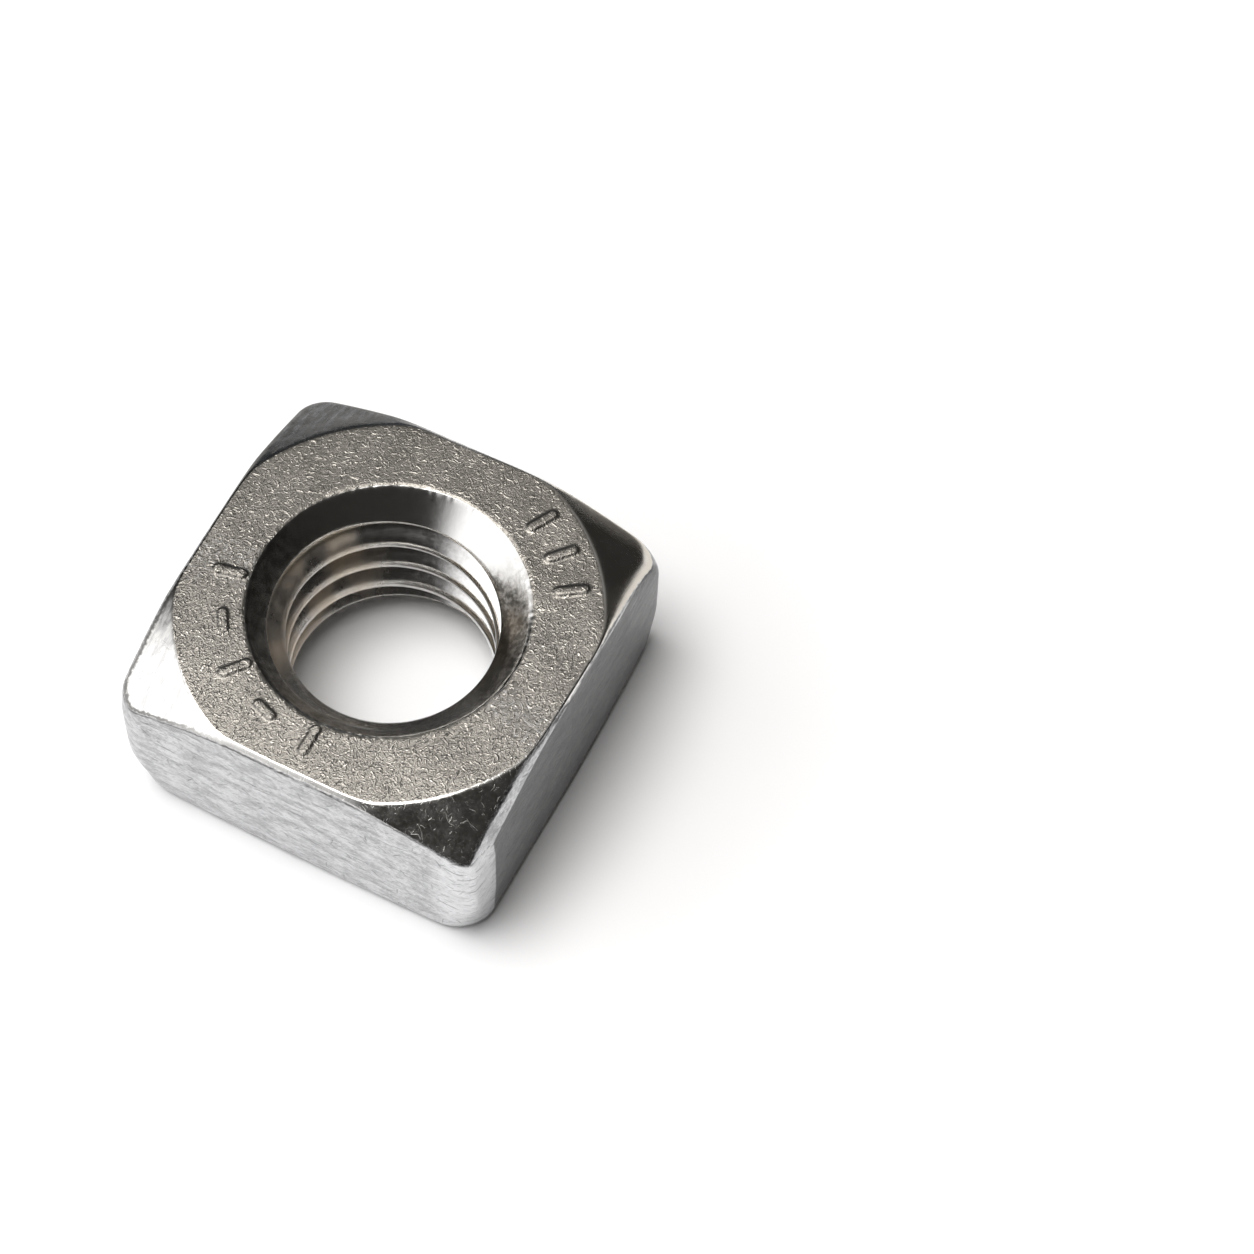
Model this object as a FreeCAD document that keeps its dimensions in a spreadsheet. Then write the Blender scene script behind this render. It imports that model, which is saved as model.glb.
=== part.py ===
import FreeCAD, Part
import Sketcher
import math
import os

# Square nut with an M6 coarse thread, cold formed in one piece.
# Millimetres.  Origin: centre of the flat bearing face.  +Z: up the thread axis.
# The four wrench flats face -Y, +X, +Y and -X.

doc = FreeCAD.newDocument("square_nut_doc")
V = FreeCAD.Vector

# ---------------------------------------------------------------- dimensions
sheet = doc.addObject("Spreadsheet::Sheet", "dims")
sheet.Label = "dims"
DIMS = [
    ("across_flats", 10.0),        # at the middle of each flat
    ("thickness", 5.0),            # bearing face to marked face
    ("flat_bulge", 0.08),          # how far the middle of a flat stands out past its ends
    ("corner_round", 0.65),        # rounding of the four upright corners
    ("crown_radius", 5.20),        # circle where the top corner bevels begin
    ("crown_angle", 30.0),         # slope of the top corner bevels, degrees
    ("foot_radius", 6.35),         # circle where the bottom corners begin to draw in
    ("foot_angle", 60.0),          # slope of the bottom corners, degrees
    ("edge_round", 0.10),          # broken edges all round the outside
    ("minor_dia", 5.10),           # thread minor diameter, the bore wall
    ("major_dia", 6.0),            # thread major diameter (kept for reference)
    ("pitch", 1.0),                # thread pitch (kept for reference)
    ("sink_dia", 6.90),            # countersink diameter at both faces
    ("mark_height", 0.06),         # how far the raised marks stand up
    ("mark_width", 0.24),
    ("rib_length", 0.86),          # marks that point at the bore
    ("dash_length", 0.66),         # marks that run round the bore
    ("grade_radius", 3.98),        # middle of the five marks on one side
    ("lot_radius", 4.42),          # middle of the three marks on the other side
]
for row, (alias, value) in enumerate(DIMS, start=1):
    sheet.set("A%d" % row, alias)
    sheet.set("B%d" % row, repr(value))
    sheet.setAlias("B%d" % row, alias)
doc.recompute()
D = dict(DIMS)

body = doc.addObject("PartDesign::Body", "square_nut")
body.Label = "square_nut"
doc.recompute()


def origin(role):
    for f in body.Origin.OriginFeatures:
        if f.Role == role:
            return f
    raise RuntimeError("no origin feature " + role)


def sketch(name, role):
    sk = body.newObject("Sketcher::SketchObject", name)
    sk.AttachmentSupport = [(origin(role), "")]
    sk.MapMode = "FlatFace"
    return sk


def bind(sk, index, name, expression):
    """Name a constraint of a sketch and drive it from the dimensions sheet."""
    sk.renameConstraint(index, name)
    sk.setExpression("Constraints." + name, expression)


volumes = []


def note(step, sign):
    """The solid after a step must have grown (+1) or shrunk (-1)."""
    doc.recompute()
    v = body.Shape.Volume
    if volumes:
        delta = v - volumes[-1][1]
        if delta * sign <= 1e-6:
            raise RuntimeError("%s changed the volume by %.5f" % (step, delta))
    volumes.append((step, v))


# ---------------------------------------------------------------- blank
# Square outline whose four sides are shallow arcs, so each wrench flat swells
# slightly in its middle as a pressed blank does.
sk = sketch("outline", "XY_Plane")
c = D["across_flats"] / 2 - D["flat_bulge"]
rad = (c * c + D["flat_bulge"] ** 2) / (2 * D["flat_bulge"])
half = math.asin(c / rad)
off = rad - D["across_flats"] / 2
for k in range(4):
    mid = -math.pi / 2 + k * math.pi / 2
    centre = V(-off * math.cos(mid), -off * math.sin(mid), 0)
    sk.addGeometry(Part.ArcOfCircle(Part.Circle(centre, V(0, 0, 1), rad), mid - half, mid + half), False)
for k in range(4):
    sk.addConstraint(Sketcher.Constraint("Coincident", k, 2, (k + 1) % 4, 1))
signs = [(-1, -1), (1, -1), (1, 1), (-1, 1)]        # start point of each arc
for k, (sx, sy) in enumerate(signs):
    ix = sk.addConstraint(Sketcher.Constraint("DistanceX", -1, 1, k, 1, sx * c))
    bind(sk, ix, "corner_x%d" % k, "%d * (dims.across_flats / 2 - dims.flat_bulge)" % sx)
    iy = sk.addConstraint(Sketcher.Constraint("DistanceY", -1, 1, k, 1, sy * c))
    bind(sk, iy, "corner_y%d" % k, "%d * (dims.across_flats / 2 - dims.flat_bulge)" % sy)
    ir = sk.addConstraint(Sketcher.Constraint("Radius", k, rad))
    bind(sk, ir, "side_radius%d" % k,
         "((dims.across_flats / 2 - dims.flat_bulge)^2 + dims.flat_bulge^2) / (2 * dims.flat_bulge)")
doc.recompute()

blank = body.newObject("PartDesign::Pad", "blank")
blank.Profile = sk
blank.setExpression("Length", "dims.thickness")
note("blank", 1)

# Upright corners, well rounded.
uprights = []
for i, e in enumerate(blank.Shape.Edges, start=1):
    a, b = e.Vertexes[0].Point, e.Vertexes[-1].Point
    if abs(a.x - b.x) < 1e-6 and abs(a.y - b.y) < 1e-6 and abs(a.z - b.z) > 1:
        uprights.append("Edge%d" % i)
assert len(uprights) == 4, uprights
corners = body.newObject("PartDesign::Fillet", "upright_corners")
corners.Base = (blank, uprights)
corners.setExpression("Radius", "dims.corner_round")
note("upright corners", -1)


# ---------------------------------------------------------------- corner bevels
def bevel(name, radius, angle, top):
    """Turn the four corners off along a cone: a triangle swept once round the axis."""
    s = sketch(name + "_profile", "XZ_Plane")
    z0 = D["thickness"] if top else 0.0
    r0 = D[radius]
    run = 3.0
    drop = run * math.tan(math.radians(D[angle]))
    zs = -1 if top else 1
    p = [V(r0, z0, 0), V(r0 + run, z0, 0), V(r0 + run, z0 + zs * drop, 0)]
    for k in range(3):
        s.addGeometry(Part.LineSegment(p[k], p[(k + 1) % 3]), False)
    for k in range(3):
        s.addConstraint(Sketcher.Constraint("Coincident", k, 2, (k + 1) % 3, 1))
    s.addConstraint(Sketcher.Constraint("Horizontal", 0))
    s.addConstraint(Sketcher.Constraint("Vertical", 1))
    i = s.addConstraint(Sketcher.Constraint("DistanceX", -1, 1, 0, 1, r0))
    bind(s, i, "start_radius", "dims." + radius)
    if top:
        i = s.addConstraint(Sketcher.Constraint("DistanceY", -1, 1, 0, 1, z0))
        bind(s, i, "face_level", "dims.thickness")
    else:
        s.addConstraint(Sketcher.Constraint("PointOnObject", 0, 1, -1))
    s.addConstraint(Sketcher.Constraint("DistanceX", 0, 1, 0, 2, run))
    i = s.addConstraint(Sketcher.Constraint("DistanceY", *((1, 2, 1, 1) if top else (1, 1, 1, 2)), drop))
    bind(s, i, "drop", "3 * tan(dims.%s * 1 deg)" % angle)
    doc.recompute()
    g = body.newObject("PartDesign::Groove", name)
    g.Profile = s
    g.ReferenceAxis = (s, ["V_Axis"])
    g.Angle = 360.0
    note(name, -1)
    return g


bevel("crown_bevel", "crown_radius", "crown_angle", True)
foot = bevel("foot_bevel", "foot_radius", "foot_angle", False)


# ---------------------------------------------------------------- outer edges
# Every outer edge is slightly rounded, because a formed nut has no sharp ones.
# The crown circles, where the top face meets the shallow bevels, stay crisp.
def outer_edges(shape):
    found = []
    for i, e in enumerate(shape.Edges, start=1):
        if isinstance(e.Curve, Part.Circle):
            k = e.Curve
            if abs(k.Radius - D["crown_radius"]) < 1e-4 and abs(k.Center.z - D["thickness"]) < 1e-4:
                continue
        m = e.valueAt((e.FirstParameter + e.LastParameter) / 2)
        ends = [v.Point for v in e.Vertexes]
        upright = len(ends) == 2 and abs(ends[0].x - ends[1].x) < 1e-4 and abs(ends[0].y - ends[1].y) < 1e-4
        if not upright and math.hypot(m.x, m.y) > 4.5:
            found.append("Edge%d" % i)
    return found


edges = outer_edges(foot.Shape)
soft = body.newObject("PartDesign::Fillet", "soft_edges")
soft.Base = (foot, edges)
soft.setExpression("Radius", "dims.edge_round")
note("soft edges", -1)

# ---------------------------------------------------------------- bore
s = sketch("bore_circle", "XY_Plane")
s.addGeometry(Part.Circle(V(0, 0, 0), V(0, 0, 1), D["minor_dia"] / 2), False)
s.addConstraint(Sketcher.Constraint("Coincident", 0, 3, -1, 1))
i = s.addConstraint(Sketcher.Constraint("Diameter", 0, D["minor_dia"]))
bind(s, i, "bore_dia", "dims.minor_dia")
doc.recompute()
bore = body.newObject("PartDesign::Pocket", "bore")
bore.Profile = s
bore.Type = "ThroughAll"
bore.Reversed = True
note("bore", -1)

rims = []
for i, e in enumerate(bore.Shape.Edges, start=1):
    span = e.LastParameter - e.FirstParameter
    pts = [e.valueAt(e.FirstParameter + span * t) for t in (0.1, 0.45, 0.8)]
    ring = all(abs(math.hypot(q.x, q.y) - D["minor_dia"] / 2) < 1e-5 for q in pts)
    level = max(q.z for q in pts) - min(q.z for q in pts) < 1e-6
    if ring and level:
        rims.append("Edge%d" % i)
assert len(rims) == 2, rims
sink = body.newObject("PartDesign::Chamfer", "countersinks")
sink.Base = (bore, rims)
sink.setExpression("Size", "(dims.sink_dia - dims.minor_dia) / 2")
note("countersinks", -1)


# ---------------------------------------------------------------- raised marks
# Plain round-ended bars standing on the top face: five on one side of the bore,
# three on the other.  They carry no letters or figures.
def marks(name, radius, length, along, angle, count, spread):
    s = sketch(name + "_outline", "XY_Plane")
    s.AttachmentOffset = FreeCAD.Placement(V(0, 0, D["thickness"]), FreeCAD.Rotation(V(0, 0, 1), angle))
    s.setExpression("AttachmentOffset.Base.z", "dims.thickness")
    w, l, r = D["mark_width"] / 2, D[length], D[radius]
    g = l / 2 - w                                     # half the distance between the two end centres
    if along:                                         # the bar points at the axis
        a, b = V(r - g, 0, 0), V(r + g, 0, 0)
        s.addGeometry(Part.ArcOfCircle(Part.Circle(a, V(0, 0, 1), w), math.pi / 2, 3 * math.pi / 2), False)
        s.addGeometry(Part.LineSegment(V(a.x, -w, 0), V(b.x, -w, 0)), False)
        s.addGeometry(Part.ArcOfCircle(Part.Circle(b, V(0, 0, 1), w), -math.pi / 2, math.pi / 2), False)
        s.addGeometry(Part.LineSegment(V(b.x, w, 0), V(a.x, w, 0)), False)
    else:                                             # the bar runs across the radius
        a, b = V(r, g, 0), V(r, -g, 0)
        s.addGeometry(Part.ArcOfCircle(Part.Circle(a, V(0, 0, 1), w), 0, math.pi), False)
        s.addGeometry(Part.LineSegment(V(r - w, a.y, 0), V(r - w, b.y, 0)), False)
        s.addGeometry(Part.ArcOfCircle(Part.Circle(b, V(0, 0, 1), w), math.pi, 2 * math.pi), False)
        s.addGeometry(Part.LineSegment(V(r + w, b.y, 0), V(r + w, a.y, 0)), False)
    for k, (end, nxt) in enumerate([((0, 2), (1, 1)), ((1, 2), (2, 1)), ((2, 2), (3, 1)), ((3, 2), (0, 1))]):
        s.addConstraint(Sketcher.Constraint("Tangent", end[0], end[1], nxt[0], nxt[1]))
    i = s.addConstraint(Sketcher.Constraint("Radius", 0, w))
    bind(s, i, "end_radius", "dims.mark_width / 2")
    if along:
        s.addConstraint(Sketcher.Constraint("PointOnObject", 0, 3, -1))
        s.addConstraint(Sketcher.Constraint("PointOnObject", 2, 3, -1))
        i = s.addConstraint(Sketcher.Constraint("DistanceX", -1, 1, 0, 3, r - g))
        bind(s, i, "near_end", "dims.%s - (dims.%s - dims.mark_width) / 2" % (radius, length))
        i = s.addConstraint(Sketcher.Constraint("DistanceX", -1, 1, 2, 3, r + g))
        bind(s, i, "far_end", "dims.%s + (dims.%s - dims.mark_width) / 2" % (radius, length))
    else:
        i = s.addConstraint(Sketcher.Constraint("DistanceX", -1, 1, 0, 3, r))
        bind(s, i, "middle_radius", "dims." + radius)
        s.addConstraint(Sketcher.Constraint("Symmetric", 0, 3, 2, 3, -1))
        i = s.addConstraint(Sketcher.Constraint("DistanceY", 2, 3, 0, 3, 2 * g))
        bind(s, i, "span", "dims.%s - dims.mark_width" % length)
    doc.recompute()
    p = body.newObject("PartDesign::Pad", name + "_bar")
    p.Profile = s
    p.setExpression("Length", "dims.mark_height")
    note(name + " bar", 1)
    pat = body.newObject("PartDesign::PolarPattern", name)
    pat.Originals = [p]
    pat.Axis = (origin("Z_Axis"), [""])
    pat.Angle = spread
    pat.Occurrences = count
    body.Tip = pat
    note(name, 1)


marks("grade_ribs", "grade_radius", "rib_length", True, 192.5, 3, 78.0)
marks("grade_dashes", "grade_radius", "dash_length", False, 212.0, 2, 39.0)
marks("lot_ribs", "lot_radius", "rib_length", True, 34.0, 3, 27.0)

# ---------------------------------------------------------------- checks and output
doc.recompute()
for o in doc.Objects:
    for bad in ("Invalid", "Error"):
        if bad in o.State:
            raise RuntimeError("%s is %s" % (o.Name, bad))
    if o.isDerivedFrom("Sketcher::SketchObject"):
        print("sketch", o.Name, "free", o.solve(), "constraints", o.ConstraintCount)
    if o.isDerivedFrom("PartDesign::Feature") and (o.Shape.isNull() or not o.Shape.isValid()):
        raise RuntimeError(o.Name + " has no valid shape")

body.Placement = FreeCAD.Placement(V(0, 0, 0), FreeCAD.Rotation())
doc.recompute()
pieces = [body]
for p in pieces:
    shp = p.Shape
    if shp.isNull() or not shp.isValid() or len(shp.Solids) != 1:
        raise RuntimeError(p.Label + " is not one valid solid")

for step, v in volumes:
    print("%-18s %9.3f mm3" % (step, v))
bb = body.Shape.optimalBoundingBox()
print("box", [round(x, 4) for x in (bb.XMin, bb.YMin, bb.ZMin, bb.XMax, bb.YMax, bb.ZMax)])
print("steel mass, g: %.3f" % (body.Shape.Volume * 7.9e-3))

os.makedirs("parts", exist_ok=True)
for p in pieces:
    p.Shape.exportStep("parts/%s.step" % p.Label)
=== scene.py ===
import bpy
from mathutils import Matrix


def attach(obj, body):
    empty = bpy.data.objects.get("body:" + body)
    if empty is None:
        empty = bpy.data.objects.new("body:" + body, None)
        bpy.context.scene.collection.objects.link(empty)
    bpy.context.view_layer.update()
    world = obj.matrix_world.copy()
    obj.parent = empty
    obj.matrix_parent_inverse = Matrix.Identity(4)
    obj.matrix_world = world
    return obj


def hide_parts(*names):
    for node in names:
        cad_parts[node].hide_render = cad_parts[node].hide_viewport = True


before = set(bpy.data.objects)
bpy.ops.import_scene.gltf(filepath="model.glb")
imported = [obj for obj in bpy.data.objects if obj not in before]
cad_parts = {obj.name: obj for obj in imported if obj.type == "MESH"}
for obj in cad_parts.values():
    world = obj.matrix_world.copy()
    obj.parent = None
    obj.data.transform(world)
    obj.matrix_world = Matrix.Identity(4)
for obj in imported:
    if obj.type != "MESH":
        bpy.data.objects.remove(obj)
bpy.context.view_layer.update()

import math
import bpy
import numpy as np
from mathutils import Matrix, Vector

# ------------------------------------------------------------------ camera
AZ, EL, ROLL = 24.4053, 61.2977, -2.7491          # degrees
SHIFT_MM = Vector((-5.8338, 1.9576, 92.3077))     # the nut's origin in camera axes: right, down, forward
FOCAL_PX = 3660.08                                # for an image 1254 wide


def make_camera():
    a, e, r = (math.radians(v) for v in (AZ, EL, ROLL))
    fwd = Vector((-math.sin(a) * math.cos(e), math.cos(a) * math.cos(e), -math.sin(e)))
    right = Vector((math.cos(a), math.sin(a), 0.0))
    down = fwd.cross(right)
    rx = right * math.cos(r) + down * math.sin(r)
    ry = -right * math.sin(r) + down * math.cos(r)
    loc = -(rx * SHIFT_MM.x + ry * SHIFT_MM.y + fwd * SHIFT_MM.z) / 1000.0
    data = bpy.data.cameras.new("camera")
    data.sensor_width = 36.0
    data.sensor_fit = "HORIZONTAL"
    data.lens = FOCAL_PX * 36.0 / 1254.0
    data.clip_start, data.clip_end = 0.001, 10.0
    cam = bpy.data.objects.new("camera", data)
    m = Matrix((rx, -ry, -fwd)).transposed().to_4x4()
    m.translation = loc
    cam.matrix_world = m
    bpy.context.scene.collection.objects.link(cam)
    bpy.context.scene.camera = cam
    return cam


make_camera()

# ------------------------------------------------------------------ shape, millimetres
HALF = 5.0            # half the width across flats, at the middle of a flat
THICK = 5.0
CROWN_R, CROWN_A = 5.20, math.radians(30.0)
EDGE_TOP, EDGE_FOOT = 0.13, 0.14
RIM = 3.47            # countersink radius at the faces
SINK = 0.90           # radius lost for each mm of depth in the countersink
BORE = 2.55
MINOR, MAJOR = 2.53, 3.0
PITCH = 1.0
PHASE = 0.25
MARK_H = 0.05
DROP = 0.020          # how far the lip at the countersink is rolled down, on average

TOP_COLOUR, TOP_ROUGH = (0.225, 0.212, 0.192), 0.34
# strength of the painted shade put on the sheared flat towards +X
SHEAR_PAINTED_SHADE = 0.80
SHEAR_Y, CANT = 3.95, math.radians(7.0)      # where the canted strip at the front corner starts

N_TH = 600
N_OUT, N_IN = 80, 86


def smax(a, b, k):
    h = np.maximum(k - np.abs(a - b), 0.0) / k
    return np.maximum(a, b) + h * h * k * 0.25


def smin(a, b, k):
    return -smax(-a, -b, k)


def sstep(lo, hi, v):
    t = np.clip((v - lo) / (hi - lo), 0.0, 1.0)
    return t * t * (3 - 2 * t)


def waves(seed, n, lo, hi, *coords):
    """Smooth noise of about unit size: a sum of sine waves of lo to hi cycles a millimetre."""
    rng = np.random.RandomState(seed)
    out = 0.0
    for _ in range(n):
        f = math.exp(rng.uniform(math.log(lo), math.log(hi)))
        d = rng.normal(size=len(coords))
        d *= 2 * math.pi * f / np.linalg.norm(d)
        ph = rng.uniform(0, 2 * math.pi)
        out = out + np.sin(sum(c * k for c, k in zip(coords, d)) + ph)
    return out / math.sqrt(n / 2.0)


def ring_noise(seed, n, kmax, th):
    """Noise round the axis, whole waves only, so it closes."""
    rng = np.random.RandomState(seed)
    out = 0.0
    for _ in range(n):
        k = rng.randint(1, kmax)
        out = out + np.sin(k * th + rng.uniform(0, 2 * math.pi)) * rng.uniform(0.4, 1.0)
    return out / math.sqrt(n / 3.0)


def prism(x, y, z):
    """Distance outside the four-sided blank.  The flats swell in their middles at the top and the
    foot, and the upright corners are fullest at mid height, each a little different."""
    top, foot = sstep(3.3, 4.3, z), 1 - sstep(0.0, 1.9, z)
    bulge = 0.015 + 0.085 * top + 0.075 * foot
    front, back = y < 0, y >= 0
    right, left = x >= 0, x < 0
    mid = 0.44 * (right & back) + 0.62 * (right & front) + 0.78 * (left & front) + 0.62 * (left & back)
    at_top = 0.60 * (right & back) + 0.60 * (right & front) + 0.74 * (left & front) + 0.66 * (left & back)
    at_foot = 0.66 * (right & back) + 1.06 * (right & front) + 1.16 * (left & front) + 0.95 * (left & back)
    rc = mid + (at_top - mid) * top + (at_foot - mid) * foot
    fx = np.abs(x) + bulge * (y / 4.9) ** 2 - HALF + 0.02 * foot
    fy = np.abs(y) + bulge * (x / 4.9) ** 2 - HALF + 0.05 * foot + 0.05 * foot * sstep(4.0, -4.0, x) * front
    qx, qy = fx + rc, fy + rc
    f = np.hypot(np.maximum(qx, 0), np.maximum(qy, 0)) + np.minimum(np.maximum(qx, qy), 0) - rc
    return f, fx, fy


def outer(th, r, z):
    x, y = r * np.cos(th), r * np.sin(th)
    fp, fx, fy = prism(x, y, z)
    # the flat towards +X is sheared flat: it meets the rounded front corner, and a narrow facet under the
    # bevel, in crisp lines
    shear = 0.030 * sstep(1.0, -2.0, y)
    fs = np.where(x > 0, fx + shear, -9.0)
    rise = 0.5 * (np.sqrt(25.0 + y * y) - 5.10)
    lean = math.radians(24.0)
    low = THICK - np.maximum(rise, 0.0) - (0.14 + 0.22 * sstep(-1.2, -4.6, y))
    ff = np.where((x > 0) & (y < 1.0), (fx + shear) * math.cos(lean) + (z - low) * math.sin(lean) - 0.02 * sstep(-0.8, 1.0, y), -9.0)
    fc = (r - CROWN_R) * math.sin(CROWN_A) + (z - THICK) * math.cos(CROWN_A)
    edge = EDGE_TOP - 0.05 * sstep(3.5, 4.8, x) - 0.078 * sstep(0.5, 3.0, np.minimum(x, y) + 1.5)
    edge = edge - 0.035 * sstep(-3.6, -4.7, x) * sstep(-3.6, -1.6, y)
    fe = (fp + (z - THICK) + edge) / math.sqrt(2)
    fe0 = (fp - z + EDGE_FOOT) / math.sqrt(2)
    fr = np.where(x > 0, (fx + shear) * math.cos(CANT) + (-y - SHEAR_Y) * math.sin(CANT), -9.0)
    fp = smax(smax(fp, fs, 0.012), fr, 0.006)
    fp = smax(fp, ff, 0.02)
    ridge = sstep(1.0, 4.0, np.minimum(x, y)) * sstep(-0.8, 0.3, fx - fy)
    f = smax(fp, fc, 0.07 + 0.36 * ridge)
    f = smax(f, fe, 0.10)
    f = smax(f, fe0, 0.20)
    f = smax(f, z - THICK, 0.04 - 0.010 * sstep(-3.2, -4.4, y))
    f = smax(f, -z, 0.10)
    return f


def rim_radius(th):
    return RIM + 0.005 * ring_noise(11, 9, 40, th) + 0.004 * ring_noise(12, 12, 150, th)


def lip_width(th):
    """The edge between the top face and the countersink is rolled over, unevenly."""
    return np.clip(0.086 + 0.018 * ring_noise(13, 12, 30, th) + 0.014 * ring_noise(14, 16, 160, th), 0.035, 0.15)


def bore_r(th, z, rim_top, drop):
    zz = z - PITCH * th / (2 * math.pi) - PHASE
    u = np.abs((zz + PITCH / 2) % PITCH - PITCH / 2)
    flank = MINOR + (u - PITCH / 8) * math.sqrt(3)
    rt = smax(np.full_like(flank, BORE), flank, 0.25)
    rt = smin(rt, np.full_like(flank, MAJOR), 0.12)
    d = THICK - drop - z
    q = np.clip(d, 0, 0.05)
    # the cone itself is true; only its first tenth of a millimetre follows the uneven lip
    uneven = rim_top - RIM + SINK * (drop - DROP)
    top = RIM - SINK * (THICK - DROP - z) + uneven * np.exp(-np.maximum(d, 0) / 0.04) - 1.35 * (q - q * q / 0.10)
    q = np.clip(z, 0, 0.05)
    bot = RIM - SINK * z - 1.35 * (q - q * q / 0.10)
    c = smax(top, bot, 0.02)
    return smax(rt, c, 0.05), rt, c


def bars():
    """Plain round-ended bars on the top face: (x0, y0, x1, y1) between the end centres."""
    out = []
    w = 0.12
    for k in range(3):
        a = math.radians(192.5 + 39.0 * k)
        for_r = (3.98 - 0.43 + w, 3.98 + 0.43 - w)
        out.append((for_r[0] * math.cos(a), for_r[0] * math.sin(a), for_r[1] * math.cos(a), for_r[1] * math.sin(a)))
    for k in range(2):
        a = math.radians(212.0 + 39.0 * k)
        g = 0.33 - w
        cx, cy, tx, ty = 3.98 * math.cos(a), 3.98 * math.sin(a), -math.sin(a), math.cos(a)
        out.append((cx - g * tx, cy - g * ty, cx + g * tx, cy + g * ty))
    for k in range(3):
        a = math.radians(34.0 + 13.5 * k)
        for_r = (4.42 - 0.43 + w, 4.42 + 0.43 - w)
        out.append((for_r[0] * math.cos(a), for_r[0] * math.sin(a), for_r[1] * math.cos(a), for_r[1] * math.sin(a)))
    return out


def mark_distance(x, y):
    """Distance outside the nearest bar, negative inside."""
    best = np.full_like(x, 9.0)
    for x0, y0, x1, y1 in bars():
        dx, dy = x1 - x0, y1 - y0
        t = np.clip(((x - x0) * dx + (y - y0) * dy) / (dx * dx + dy * dy), 0, 1)
        best = np.minimum(best, np.hypot(x - x0 - t * dx, y - y0 - t * dy) - 0.12)
    return best


def tips(slope, values, degrees):
    """Where along a row of points the surface first tips past this many degrees."""
    lim = -math.radians(degrees)
    j = max(int(np.argmax(slope < lim)), 1)
    f = (slope[j - 1] - lim) / max(slope[j - 1] - slope[j], 1e-9)
    return values[j - 1] + min(max(f, 0.0), 1.0) * (values[j] - values[j - 1])


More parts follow.
